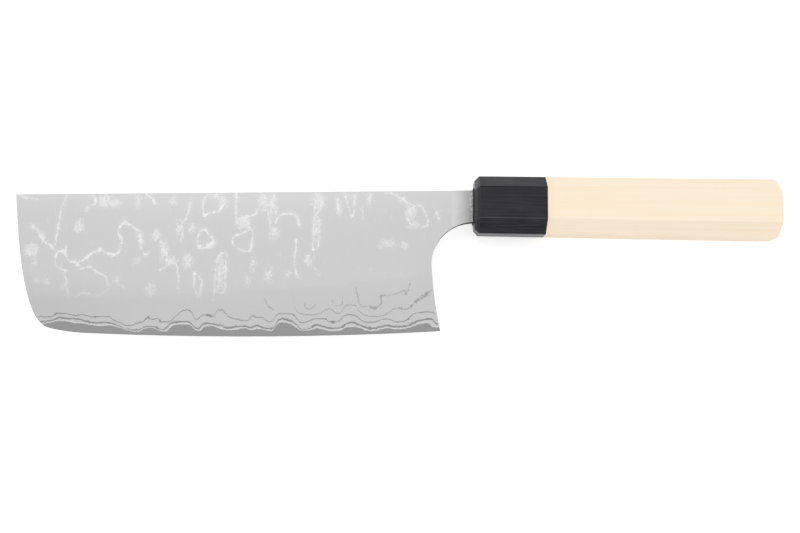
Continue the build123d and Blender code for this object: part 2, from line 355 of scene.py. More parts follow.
CORE_LINE = (
    (38, 325), (44, 323.4), (49, 322.5), (55, 321.3), (59, 321), (67, 321.4), (74, 323), (82, 323.5),
    (92, 325), (102, 326), (108.5, 325.5), (118, 327.6), (126, 330), (136, 331.7), (144, 328.6),
    (151.5, 328), (158, 330.6), (164, 331.7), (170, 327), (178.5, 324.5), (187, 324.5), (192, 327),
    (198.5, 331), (204, 326.5), (211, 326), (217, 327.6), (225, 330), (236, 329.6), (245, 328), (250, 330),
    (258.5, 329), (271, 331), (274, 328.6), (281, 322.4), (287, 323), (295, 326.5), (303, 330.6),
    (312, 329.6), (316.5, 328.3), (325, 330), (332, 331), (340.5, 330.5), (347, 327), (356, 327),
    (367, 330.5), (373, 331), (386, 328.3), (397, 329.4), (406, 328.3), (414.6, 325.6), (422, 323.4),
    (429, 323.2), (430.5, 324), (431.5, 326.5), (433, 327.2), (439, 327.2),
)
THIRD_LINE = (
    (293, 297), (294, 304), (297, 311), (303.6, 314), (312, 314.7), (321, 313), (329.6, 309), (338, 313.6),
    (348, 305), (356, 306), (359, 311.4), (375, 316.3), (388.5, 313), (397, 308), (405, 309), (412, 306),
    (414.6, 302), (420, 299), (428, 293), (432, 289.6),
)


@dataclass(frozen=True)
class Grain:
    """A noise: its features a millimetre along X, Y and Z, its finer layers and their strength."""

    scale: tuple[float, float, float]
    detail: float
    rough: float = 0.5


@dataclass(frozen=True)
class Relief:
    """How a noise shows as fine relief: roughness and its spread, and the depth in millimetres."""

    roughness: float
    spread: float
    depth: float
    strength: float


def scaled(colour: Colour, factor: float) -> Colour:
    """A colour made lighter or darker by a factor."""
    return tuple(value * factor for value in colour)


class Shader:
    """One material's nodes, with short calls for what the finishes need."""

    # The colour sockets of a mix node
    mix_first = 6
    mix_second = 7
    mix_result = 2
    # The slopes at which a surface counts as upright, and as facing the edge's side
    steep_zone: Zone = (0.75, 0.45)
    edgeward_zone: Zone = (-0.1, -0.5)
    metal_shine = 0.5

    def __init__(self, name: str) -> None:
        """Start a material with its principled shader."""
        self.material = bpy.data.materials.new(name)
        self.material.use_nodes = True
        self.tree = self.material.node_tree
        self.surface = self.tree.nodes["Principled BSDF"]

    def node(self, kind: str) -> bpy.types.Node:
        """Add a node of a kind."""
        return self.tree.nodes.new(kind)

    def feed(self, socket: Socket, value: object) -> None:
        """Give a socket a link, or a plain value.

        Args:
            socket: The input to feed.
            value: An output socket, a number or a colour.
        """
        if isinstance(value, Socket):
            self.tree.links.new(value, socket)
        elif isinstance(value, tuple):
            socket.default_value = (*value, 1.0)
        else:
            socket.default_value = value

    def set(self, name: str, value: object) -> None:
        """Feed one of the principled shader's inputs."""
        self.feed(self.surface.inputs[name], value)

    def math(self, operation: str, first: object, second: object = 0.0) -> Socket:
        """Work out one step of arithmetic.

        Args:
            operation: The operation's name.
            first: A number or a socket.
            second: Another, where the operation takes two.

        Returns:
            The result's socket.
        """
        node = self.node("ShaderNodeMath")
        node.operation = operation
        self.feed(node.inputs[0], first)
        self.feed(node.inputs[1], second)
        return node.outputs[0]

    def add(self, first: object, second: object) -> Socket:
        """Add two values."""
        return self.math("ADD", first, second)

    def less(self, first: object, second: object) -> Socket:
        """Take the second value from the first."""
        return self.math("SUBTRACT", first, second)

    def times(self, first: object, second: object) -> Socket:
        """Multiply two values."""
        return self.math("MULTIPLY", first, second)

    def larger(self, first: object, second: object) -> Socket:
        """Take the larger of two values."""
        return self.math("MAXIMUM", first, second)

    def fade(self, value: object, start: float, end: float) -> Socket:
        """Run smoothly from 0 at start to 1 at end.

        Args:
            value: The socket that is read.
            start: Where the result is 0.
            end: Where it is 1.

        Returns:
            The result's socket.
        """
        node = self.node("ShaderNodeMapRange")
        node.interpolation_type = "SMOOTHSTEP"
        self.feed(node.inputs["Value"], value)
        node.inputs["From Min"].default_value = min(start, end)
        node.inputs["From Max"].default_value = max(start, end)
        node.inputs["To Min"].default_value = 0.0 if start < end else 1.0
        node.inputs["To Max"].default_value = 1.0 if start < end else 0.0
        return node.outputs["Result"]

    def band(self, value: object, middle: float, half: float) -> Socket:
        """Run from 1 at a value to 0 at a distance from it.

        Args:
            value: The socket that is read.
            middle: Where the result is 1.
            half: How far from there it is 0.

        Returns:
            The result's socket.
        """
        away = self.math("ABSOLUTE", self.less(value, middle))
        return self.fade(away, half, 0.0)

    def blend(self, factor: object, first: object, second: object) -> Socket:
        """Mix two colours.

        Args:
            factor: How much of the second shows.
            first: A colour or a socket.
            second: A colour or a socket.

        Returns:
            The mixed colour's socket.
        """
        node = self.node("ShaderNodeMix")
        node.data_type = "RGBA"
        self.feed(node.inputs["Factor"], factor)
        self.feed(node.inputs[self.mix_first], first)
        self.feed(node.inputs[self.mix_second], second)
        return node.outputs[self.mix_result]

    def split(self, vector: Socket) -> bpy.types.Node:
        """Part a vector into a node's outputs X, Y and Z."""
        parts = self.node("ShaderNodeSeparateXYZ")
        self.feed(parts.inputs[0], vector)
        return parts

    def object_vector(self, kind: str) -> Socket:
        """What the object itself says of the shaded point: its place or its normal."""
        return self.node("ShaderNodeTexCoord").outputs[kind]

    def place(self, scale: tuple[float, float, float]) -> Socket:
        """The point on the object, in millimetres, stretched by a scale."""
        mapping = self.node("ShaderNodeMapping")
        mapping.inputs["Scale"].default_value = tuple(value / MM for value in scale)
        self.feed(mapping.inputs["Vector"], self.object_vector("Object"))
        return mapping.outputs["Vector"]

    def where(self) -> bpy.types.Node:
        """The place on the object in millimetres, as a node with outputs X, Y and Z."""
        return self.split(self.place((1.0, 1.0, 1.0)))

    def facing(self) -> bpy.types.Node:
        """The surface's direction, as a node with outputs X, Y and Z."""
        return self.split(self.object_vector("Normal"))

    def noise(self, grain: Grain) -> Socket:
        """Noise over the object, about 0 to 1."""
        node = self.node("ShaderNodeTexNoise")
        node.inputs["Scale"].default_value = 1.0
        node.inputs["Detail"].default_value = grain.detail
        node.inputs["Roughness"].default_value = grain.rough
        self.feed(node.inputs["Vector"], self.place(grain.scale))
        return node.outputs[0]

    def noise_zone(self, grain: Grain, zone: Zone) -> Socket:
        """Where a noise is strong: 0 at the zone's first value and 1 at its second."""
        return self.fade(self.noise(grain), *zone)

    def noise_shift(self, grain: Grain) -> Socket:
        """A noise that swings to both sides of 0."""
        return self.less(self.noise(grain), 0.5)

    def attribute(self, name: str) -> Socket:
        """A number that the mesh carries."""
        node = self.node("ShaderNodeAttribute")
        node.attribute_name = name
        return node.outputs["Fac"]

    def on_walls(self, colour: Socket, wall: Colour, under: Colour) -> Socket:
        """Use other colours on upright surfaces, and painted shade on those that face the edge's side.

        Args:
            colour: The colour of the flat surfaces.
            wall: The colour of the narrow sides.
            under: Their colour where they face the edge's side: a painted shade, not metallic and without
                shine.

        Returns:
            The colour's socket.
        """
        facing = self.facing()
        steep = self.fade(self.math("ABSOLUTE", facing.outputs["Z"]), *self.steep_zone)
        low = self.fade(facing.outputs["Y"], *self.edgeward_zone)
        # Walls that face the edge's side are painted as shade: dark, not metallic, without shine
        unshaded_metal = self.less(1.0, self.times(steep, low))
        self.set("Metallic", unshaded_metal)
        self.set("Specular IOR Level", self.times(unshaded_metal, self.metal_shine))
        return self.blend(steep, colour, self.blend(low, wall, under))

    def curve(self, value: object, points: list[tuple[float, float]]) -> Socket:
        """Read a curve through points whose two numbers both run from 0 to 1.

        Args:
            value: Where the curve is read.
            points: The curve's points.

        Returns:
            The curve's height there.
        """
        node = self.node("ShaderNodeFloatCurve")
        line = node.mapping.curves[0]
        for point in points[2:]:
            line.points.new(*point)
        for handle, point in zip(line.points, sorted(points)):
            handle.location = point
        node.mapping.update()
        self.feed(node.inputs["Value"], value)
        return node.outputs["Value"]

    def finish(self, height: Socket, relief: Relief) -> bpy.types.Material:
        """Let roughness and fine relief follow a noise.

        Args:
            height: The noise, about 0 to 1.
            relief: How it shows.

        Returns:
            The finished material.
        """
        uneven = self.times(height, relief.spread)
        self.set("Roughness", self.add(uneven, relief.roughness - relief.spread / 2))
        node = self.node("ShaderNodeBump")
        node.inputs["Strength"].default_value = relief.strength
        node.inputs["Distance"].default_value = relief.depth * MM
        self.feed(node.inputs["Height"], height)
        self.set("Normal", node.outputs["Normal"])
        return self.material


class BladeShader(Shader):
    """A material of the blade, which knows the shaded point's reach and height above the edge."""

    def __init__(self, name: str) -> None:
        """Start the material. On the right side reach is less by the waves' shift."""
        super().__init__(name)
        mapping = self.node("ShaderNodeMapping")
        mapping.vector_type = "TEXTURE"
        corner = (BLADE.ferrule_front * MM, BLADE.spine_above_axis * MM, BLADE.middle * MM)
        mapping.inputs["Location"].default_value = corner
        mapping.inputs["Rotation"].default_value = (0, 0, math.radians(BLADE.spine_slope))
        mapping.inputs["Scale"].default_value = (MM, MM, MM)
        self.feed(mapping.inputs["Vector"], self.object_vector("Object"))
        spot = self.split(mapping.outputs["Vector"]).outputs
        run = self.add(spot["X"], BLADE.edge_low_reach)
        drop = self.less(spot["Y"], BLADE.edge_radius - BLADE.blade_height)
        squares = self.add(self.times(run, run), self.times(drop, drop))
        self.rise = self.less(BLADE.edge_radius, self.math("SQRT", squares))
        shift = self.times(self.math("LESS_THAN", spot["Z"], 0.0), BLADE.right_shift)
        self.reach = self.less(self.times(spot["X"], -1.0), shift)


@dataclass(frozen=True)
class ForgedPattern:
    """The bright veins, the mottled patches and the dark curls of the forged steel."""

    bright: Colour = from_screen(225, 225, 225)
    dark: Colour = from_screen(142, 142, 142)
    slow: Grain = Grain((0.28, 0.22, 0.28), 2.0)
    quick: Grain = Grain((1.6, 1.2, 1.6), 4.0, 0.7)
    slow_shake: float = 0.8
    quick_shake: float = 1.6
    patch_shake: float = 2.1
    curl_shake: float = 1.4
    flecks: Grain = Grain((1.3, 0.95, 1.3), 5.0, 0.75)
    gaps: Grain = Grain((0.5, 0.5, 0.5), 3.0)
    gap_zone: Zone = (0.36, 0.6)
    gap_depth: float = 0.45
    vein_border: Zone = (0.24, -0.12)
    beside_border: Zone = (1.7, 0.1)
    beside_flecks: Zone = (0.48, 0.62)
    beside_strength: float = 0.45
    patch_border: Zone = (1.2, -2.0)
    patch_rim: Zone = (0.0, 0.3)
    patch_flecks: Zone = (0.52, 0.8)
    patch_density: float = 0.22
    patch_strength: float = 0.85
    strays: Grain = Grain((0.5, 0.16, 0.5), 4.0, 0.6)
    stray_zone: Zone = (0.6, 0.76)
    stray_strength: float = 0.25
    faint_zone: Zone = (28.0, 13.0)
    faint_loss: float = 0.6
    curl_border: Zone = (0.16, -0.16)
    curl_strength: float = 0.55

    def lay_on(self, shader: BladeShader, colour: Socket) -> Socket:
        """Lay the pattern over the steel.

        Args:
            shader: The material under way.
            colour: The steel's colour.

        Returns:
            The colour with the pattern on it.
        """
        slow = shader.times(shader.noise_shift(self.slow), self.slow_shake)
        quick = shader.noise_shift(self.quick)
        shake = shader.add(slow, shader.times(quick, self.quick_shake))
        flecks = shader.noise(self.flecks)
        away = shader.add(shader.attribute("vein"), shake)
        whole = shader.times(shader.noise_zone(self.gaps, self.gap_zone), self.gap_depth)
        vein = shader.times(shader.fade(away, *self.vein_border), shader.add(whole, 1 - self.gap_depth))
        near = shader.fade(away, *self.beside_border)
        beside = shader.times(near, shader.fade(flecks, *self.beside_flecks))
        spread = shader.add(shader.attribute("patch"), shader.times(shake, self.patch_shake))
        fill = shader.fade(spread, *self.patch_border)
        dense = shader.add(flecks, shader.times(fill, self.patch_density))
        patch = shader.times(shader.fade(dense, *self.patch_flecks), shader.fade(fill, *self.patch_rim))
        cover = vein
        for layer, strength in (
            (patch, self.patch_strength),
            (beside, self.beside_strength),
            (shader.noise_zone(self.strays, self.stray_zone), self.stray_strength),
        ):
            cover = shader.larger(cover, shader.times(layer, strength))
        faint = shader.times(shader.fade(shader.rise, *self.faint_zone), self.faint_loss)
        colour = shader.blend(shader.times(cover, shader.less(1.0, faint)), colour, self.bright)
        away = shader.add(shader.attribute("curl"), shader.times(quick, self.curl_shake))
        curl = shader.times(shader.fade(away, *self.curl_border), self.curl_strength)
        return shader.blend(curl, colour, self.dark)


@dataclass(frozen=True)
class LayerLine:
    """Where an etched layer line runs, and how it shows."""

    pixels: tuple[Pixel, ...]
    half: float
    weight: float
    wobble: float = 1.2
    heel_blot: float = 0.0


@dataclass(frozen=True)
class LayerMarks:
    """The etched layer lines, and the darker core below its own line."""

    lines: tuple[LayerLine, ...] = (
        LayerLine(FIRST_LINE, 0.3, 0.95),
        LayerLine(SECOND_LINE, 0.17, 0.85),
        LayerLine(THIRD_LINE, 0.14, 0.65, 1.9, 0.75),
    )
    dark: Colour = from_screen(142, 142, 142)
    core: Colour = from_screen(151, 151, 151)
    glint: Colour = from_screen(219, 219, 219)
    curve_reach: float = 190.0
    curve_rise: float = 24.0
    line_end: float = 0.3
    jog: Grain = Grain((1.1, 0.35, 1.1), 4.0, 0.65)
    swelling: Grain = Grain((0.45, 0.3, 0.45), 3.0, 0.6)
    swell: float = 1.9
    blots: Grain = Grain((0.3, 0.16, 0.3), 3.0, 0.6)
    blot_zone: Zone = (0.58, 0.68)
    blot_half: float = 0.42
    lumps: Grain = Grain((0.4, 0.3, 0.4), 3.0, 0.65)
    lump_zone: Zone = (0.47, 0.6)
    lump_reach: Zone = (37.0, 32.0)
    line_border: Zone = (0.16, -0.08)
    core_wobble: float = 1.0
    core_border: Zone = (0.1, -0.06)
    glint_rise: float = 0.3
    glint_half: float = 0.3
    glint_strength: float = 0.7

    def height_of(self, shader: BladeShader, pixels: tuple[Pixel, ...]) -> tuple[Socket, Socket]:
        """How high a layer line runs above the edge at the shaded point's reach.

        Args:
            shader: The material under way.
            pixels: Places that the line passes in the photograph.

        Returns:
            The line's height in millimetres, and 1 where the line has not ended.
        """
        points = []
        for pixel in pixels:
            run, depth = VIEW.on_blade(pixel)
            points.append((run / self.curve_reach, BLADE.rise_of(run, depth) / self.curve_rise))
        first = min(points)[0] * self.curve_reach
        last = max(points)[0] * self.curve_reach
        share = shader.math("DIVIDE", shader.reach, self.curve_reach)
        height = shader.times(shader.curve(share, points), self.curve_rise)
        begun = shader.fade(shader.reach, first - self.line_end, first)
        open_end = shader.fade(shader.reach, last + self.line_end, last)
        return height, shader.times(begun, open_end)

    def lay_on(self, shader: BladeShader, colour: Socket) -> Socket:
        """Draw the etched layer lines, and darken the core below its own.

        Args:
            shader: The material under way.
            colour: The colour so far.

        Returns:
            The colour with the lines on it.
        """
        jog = shader.noise_shift(self.jog)
        swell = shader.times(shader.noise(self.swelling), self.swell)
        blots = shader.times(shader.noise_zone(self.blots, self.blot_zone), self.blot_half)
        lumps = shader.noise_zone(self.lumps, self.lump_zone)
        lumps = shader.times(lumps, shader.fade(shader.reach, *self.lump_reach))
        for line in self.lines:
            height, present = self.height_of(shader, line.pixels)
            off = shader.add(shader.less(shader.rise, height), shader.times(jog, line.wobble))
            half = shader.add(shader.times(swell, line.half), blots)
            if line.heel_blot:
                half = shader.add(half, shader.times(lumps, line.heel_blot))
            border = shader.less(shader.math("ABSOLUTE", off), half)
            cover = shader.times(shader.fade(border, *self.line_border), present)
            colour = shader.blend(shader.times(cover, line.weight), colour, self.dark)
        height, _ = self.height_of(shader, CORE_LINE)
        off = shader.add(shader.less(shader.rise, height), shader.times(jog, self.core_wobble))
        glint = shader.band(off, self.glint_rise, self.glint_half)
        colour = shader.blend(shader.times(glint, self.glint_strength), colour, self.glint)
        return shader.blend(shader.fade(off, *self.core_border), colour, self.core)


@dataclass(frozen=True)
class EtchedSteel:
    """Satin steel with the marks of forging and etching, duller low down and near the toe.

    Toe and heel zones are reaches, low and spine zones heights above the edge, in millimetres.
    """

    name: str
    wall: Colour = from_screen(190, 190, 190)
    pattern: ForgedPattern | None = None
    marks: LayerMarks = LayerMarks()
    colour: Colour = from_screen(199, 199, 199)
    # Painted shade on the walls that face the edge's side
    under: Colour = from_screen(84, 82, 80)
    relief: Relief = Relief(0.4, 0.1, 0.01, 0.25)
    brushing: Grain = Grain((3.2, 0.06, 3.2), 3.0, 0.6)
    cloud: Grain = Grain((0.05, 0.03, 0.05), 3.0)
    brushing_share: float = 0.65
    contrast: float = 0.05
    low_zone: Zone = (24.0, 9.0)
    low_share: float = 0.6
    low_loss: float = 0.06
    toe_zone: Zone = (130.0, 172.0)
    toe_loss: float = 0.05
    spine_zone: Zone = (45.0, 57.0)
    spine_gain: float = 0.05
    heel_zone: Zone = (115.0, 14.0)
    heel_gain: float = 0.01

    def base(self, shader: BladeShader, brushed: Socket) -> Socket:
        """The plain satin steel, with fine upright brushing.

        Args:
            shader: The material under way.
            brushed: The brushing's noise.

        Returns:
            The colour's socket.
        """
        cloud = shader.times(shader.noise(self.cloud), 1 - self.brushing_share)
        tone = shader.add(shader.times(brushed, self.brushing_share), cloud)
        low = scaled(self.colour, 1 - self.contrast)
        high = scaled(self.colour, 1 + self.contrast)
        highlight_and_low_tone = scaled(self.colour, 1 - self.low_loss)
        zone = shader.times(shader.fade(shader.rise, *self.low_zone), self.low_share)
        colour = shader.blend(zone, shader.blend(tone, low, high), highlight_and_low_tone)
        whole = self.spine_gain + self.heel_gain
        spine = shader.times(shader.fade(shader.rise, *self.spine_zone), self.spine_gain / whole)
        heel = shader.times(shader.fade(shader.reach, *self.heel_zone), self.heel_gain / whole)
        colour = shader.blend(shader.add(spine, heel), colour, scaled(self.colour, 1 + whole))
        toe = shader.times(shader.fade(shader.reach, *self.toe_zone), zone)
        return shader.blend(toe, colour, scaled(self.colour, 1 - self.low_loss - self.toe_loss))

    def build(self) -> bpy.types.Material:
        """Make the material."""
        shader = BladeShader(self.name)
        brushed = shader.noise(self.brushing)
        colour = self.base(shader, brushed)
        if self.pattern:
            colour = self.pattern.lay_on(shader, colour)
        colour = self.marks.lay_on(shader, colour)
        shader.set("Base Color", shader.on_walls(colour, self.wall, self.under))
        return shader.finish(brushed, self.relief)


@dataclass(frozen=True)
class TangSteel:
    """Plain satin steel of the neck, darker and pitted near the ferrule.

    The dark and the near zone are places along X, in millimetres.
    """

    name: str = "tang_steel"
    light: Colour = from_screen(208, 208, 208)
    dark: Colour = from_screen(158, 158, 158)
    fleck: Colour = from_screen(226, 226, 226)
    pit: Colour = from_screen(122, 122, 122)
    wall: Colour = from_screen(176, 176, 176)
    # Painted shade on the walls that face the edge's side
    under: Colour = from_screen(46, 45, 44)
    relief: Relief = Relief(0.38, 0.1, 0.01, 0.25)
    brushing: Grain = Grain((2.4, 0.09, 2.4), 3.0, 0.6)
    cloud: Grain = Grain((0.35, 0.25, 0.35), 3.0, 0.6)
    cloud_reach: float = 3.0
    dark_zone: Zone = (-69.05, -58.45)
    streak_strength: float = 0.4
    near_zone: Zone = (-63.45, -61.55)
    near_strength: float = 0.6
    pits: Grain = Grain((0.8, 0.5, 0.8), 3.0, 0.6)
    pit_zone: Zone = (0.5, 0.62)
    flecks: Grain = Grain((1.1, 0.9, 1.1), 3.0, 0.6)
    fleck_zone: Zone = (0.54, 0.62)

    def build(self) -> bpy.types.Material:
        """Make the material."""
        shader = Shader(self.name)
        along = shader.where().outputs["X"]
        brushed = shader.noise(self.brushing)
        uneven = shader.add(along, shader.times(shader.noise(self.cloud), self.cloud_reach))
        streaks = shader.times(shader.less(brushed, 0.5), self.streak_strength)
        deep = shader.add(shader.fade(uneven, *self.dark_zone), streaks)
        colour = shader.blend(shader.larger(deep, 0.0), self.light, self.dark)
        near = shader.times(shader.fade(along, *self.near_zone), self.near_strength)
        pits = shader.times(near, shader.noise_zone(self.pits, self.pit_zone))
        colour = shader.blend(pits, colour, self.pit)
        flecks = shader.times(near, shader.noise_zone(self.flecks, self.fleck_zone))
        colour = shader.blend(flecks, colour, self.fleck)
        shader.set("Base Color", shader.on_walls(colour, self.wall, self.under))
        return shader.finish(brushed, self.relief)


@dataclass(frozen=True)
class PolishedHorn:
    """Black horn, polished, with fine streaks along it and painted light and shade on its long edges.

    A loss is the share of the shine that is lost. Arris and the painted shade line are places in
    millimetres.
    """

    name: str = "polished_horn"
    colour: Colour = (0.006, 0.0055, 0.0105)
    streak: Colour = (0.016, 0.0155, 0.021)
    # Painted highlight on the lower long edge
    highlight_and_low_tone: Colour = (0.055, 0.054, 0.062)
    refraction: float = 1.4
    shine: float = 0.56
    relief: Relief = Relief(0.33, 0.14, 0.02, 0.3)
    streaks: Grain = Grain((0.05, 2.2, 2.2), 4.0, 0.62)
    streak_zone: Zone = (0.42, 0.7)
    fine: Grain = Grain((0.07, 3.0, 3.0), 4.0, 0.68)
    fine_zone: Zone = (0.44, 0.58)
    fine_loss: float = 0.1
    fine_low_loss: float = 0.42
    cloud: Grain = Grain((0.1, 0.16, 0.16), 2.0)
    cloud_zone: Zone = (0.4, 0.65)
    cloud_loss: float = 0.12
    # Painted shade on the sloping facets, as lost shine
    facet_slope: float = 0.73
    facet_half: float = 0.3
    upper_facet_shade: float = 0.38
    lower_facet_shade: float = 0.1
    # Long edges: a painted highlight on the lower one, painted shade as lost shine on the upper one
    arris: float = 6.28
    arris_highlight_half: float = 0.32
    arris_highlight_strength: float = 0.9
    arris_shade_half: float = 0.35
    arris_shade_loss: float = 0.6
    # A painted shade line, as lost shine, near the end of the front chamfer
    painted_shade_line: float = -59.25
    painted_shade_line_half: float = 0.5
    painted_shade_line_loss: float = 0.6
    # Painted sheen, as more shine, on faces that look to the front
    front_zone: Zone = (-0.35, -0.6)
    front_sheen: float = 0.4

    def build(self) -> bpy.types.Material:
        """Make the material."""
        shader = Shader(self.name)
        spot = shader.where().outputs
        facing = shader.facing().outputs
        streaks = shader.noise(self.streaks)
        colour = shader.blend(shader.fade(streaks, *self.streak_zone), self.colour, self.streak)
        # Painted highlight on the lower long edge
        highlight_and_low_tone = shader.times(shader.band(spot["Y"], -self.arris, self.arris_highlight_half), self.arris_highlight_strength)
        shader.set("Base Color", shader.blend(highlight_and_low_tone, colour, self.highlight_and_low_tone))
        shader.set("IOR", self.refraction)
        upper = shader.band(facing["Y"], self.facet_slope, self.facet_half)
        lower = shader.band(facing["Y"], -self.facet_slope, self.facet_half)
        fine_loss = shader.add(shader.times(lower, self.fine_low_loss), self.fine_loss)
        kept = 1.0
        # Shine lost or gained: painted shade and sheen by facing and place, and uneven at random by the
        # noises
        for cover, loss in (
            (upper, self.upper_facet_shade),
            (lower, self.lower_facet_shade),
            (shader.noise_zone(self.fine, self.fine_zone), fine_loss),
            (shader.noise_zone(self.cloud, self.cloud_zone), self.cloud_loss),
            (shader.band(spot["Y"], self.arris, self.arris_shade_half), self.arris_shade_loss),
            (shader.band(spot["X"], self.painted_shade_line, self.painted_shade_line_half), self.painted_shade_line_loss),
            (shader.fade(facing["X"], *self.front_zone), -self.front_sheen),
        ):
            kept = shader.less(kept, shader.times(cover, loss))
        shine = shader.times(shader.larger(kept, 0.0), self.shine)
        shader.set("Specular IOR Level", shine)
        return shader.finish(streaks, self.relief)


@dataclass(frozen=True)
class BareWood:
    """Fine sanded wood with straight grain along the handle, darker and more orange at its front end.

    The front tint's zone is two places along X, in millimetres.
    """

    name: str
    colour: Colour
    shade: Colour
    relief: Relief = Relief(0.55, 0.12, 0.02, 0.2)
    grain: Grain = Grain((0.012, 0.55, 0.55), 4.0, 0.55)
    pores: Grain = Grain((0.12, 3.5, 3.5), 3.0, 0.6)
    grain_share: float = 0.75
    streak_zone: Zone = (0.4, 0.7)
    streak_strength: float = 0.6
    front_tint_zone: Zone = (-27.75, -32.25)
    front_tint_strength: float = 0.8

    def build(self) -> bpy.types.Material:
        """Make the material."""
        shader = Shader(self.name)
        pores = shader.noise(self.pores)
        grain = shader.times(shader.noise(self.grain), self.grain_share)
        tone = shader.add(grain, shader.times(pores, 1 - self.grain_share))
        streaks = shader.times(shader.fade(tone, *self.streak_zone), self.streak_strength)
        front_tint = shader.fade(shader.where().outputs["X"], *self.front_tint_zone)
        dark = shader.larger(streaks, shader.times(front_tint, self.front_tint_strength))
        shader.set("Base Color", shader.blend(dark, self.colour, self.shade))
        return shader.finish(pores, self.relief)


@dataclass(frozen=True)
class DullFiller:
    """Set glue or sealant, a little uneven."""

    name: str
    colour: Colour
    contrast: float = 0.2
    lumps: Grain = Grain((0.8, 0.8, 0.8), 3.0)
    relief: Relief = Relief(0.6, 0.0, 0.1, 0.4)

    def build(self) -> bpy.types.Material:
        """Make the material."""
        shader = Shader(self.name)
        lumps = shader.noise(self.lumps)
        low = scaled(self.colour, 1 - self.contrast)
        high = scaled(self.colour, 1 + self.contrast)
        shader.set("Base Color", shader.blend(lumps, low, high))
        return shader.finish(lumps, self.relief)


def dress(piece: bpy.types.Object, material: bpy.types.Material) -> None:
    """Give a piece one material all over."""
    piece.data.materials.clear()
    piece.data.materials.append(material)


def smooth_line(places: list[np.ndarray], closed: bool, steps: int) -> list[np.ndarray]:
    """Run a smooth line through places.

    Args:
        places: The places, in order.
        closed: Whether the line comes back to its start.
        steps: Number of short stretches from one place to the next.

    Returns:
        The line's points.
    """
    count = len(places)
    line = []
    for index in range(count if closed else count - 1):
        around = []
        for offset in (-1, 0, 1, 2):
            nearby = index + offset
            around.append(places[nearby % count if closed else min(max(nearby, 0), count - 1)])
        before, start, end, after = around
        for step in range(steps):
            share = step / steps
            line.append(
                start
                + share * (end - before) / 2
                + share**2 * (before - 2.5 * start + 2 * end - after / 2)
                + share**3 * (after - 3 * end + 3 * start - before) / 2
            )
    line.append(places[0] if closed else places[-1])
    return line


def distance_to_lines(points: np.ndarray, lines: list[Stretch]) -> np.ndarray:
    """How far points lie from a set of thick straight stretches.

    Args:
        points: One point a row.
        lines: Start, end and half width of each stretch.

    Returns:
        The distance from the nearest stretch's border, negative inside it.
    """
    nearest = np.full(len(points), FAR_AWAY)
    for start, end, half in lines:
        along = end - start
        length = max(along @ along, SHORTEST)
        share = np.clip((points - start) @ along / length, 0, 1)
        away = np.linalg.norm(points - (start + share[:, None] * along), axis=1) - half
        nearest = np.minimum(nearest, away)
    return nearest


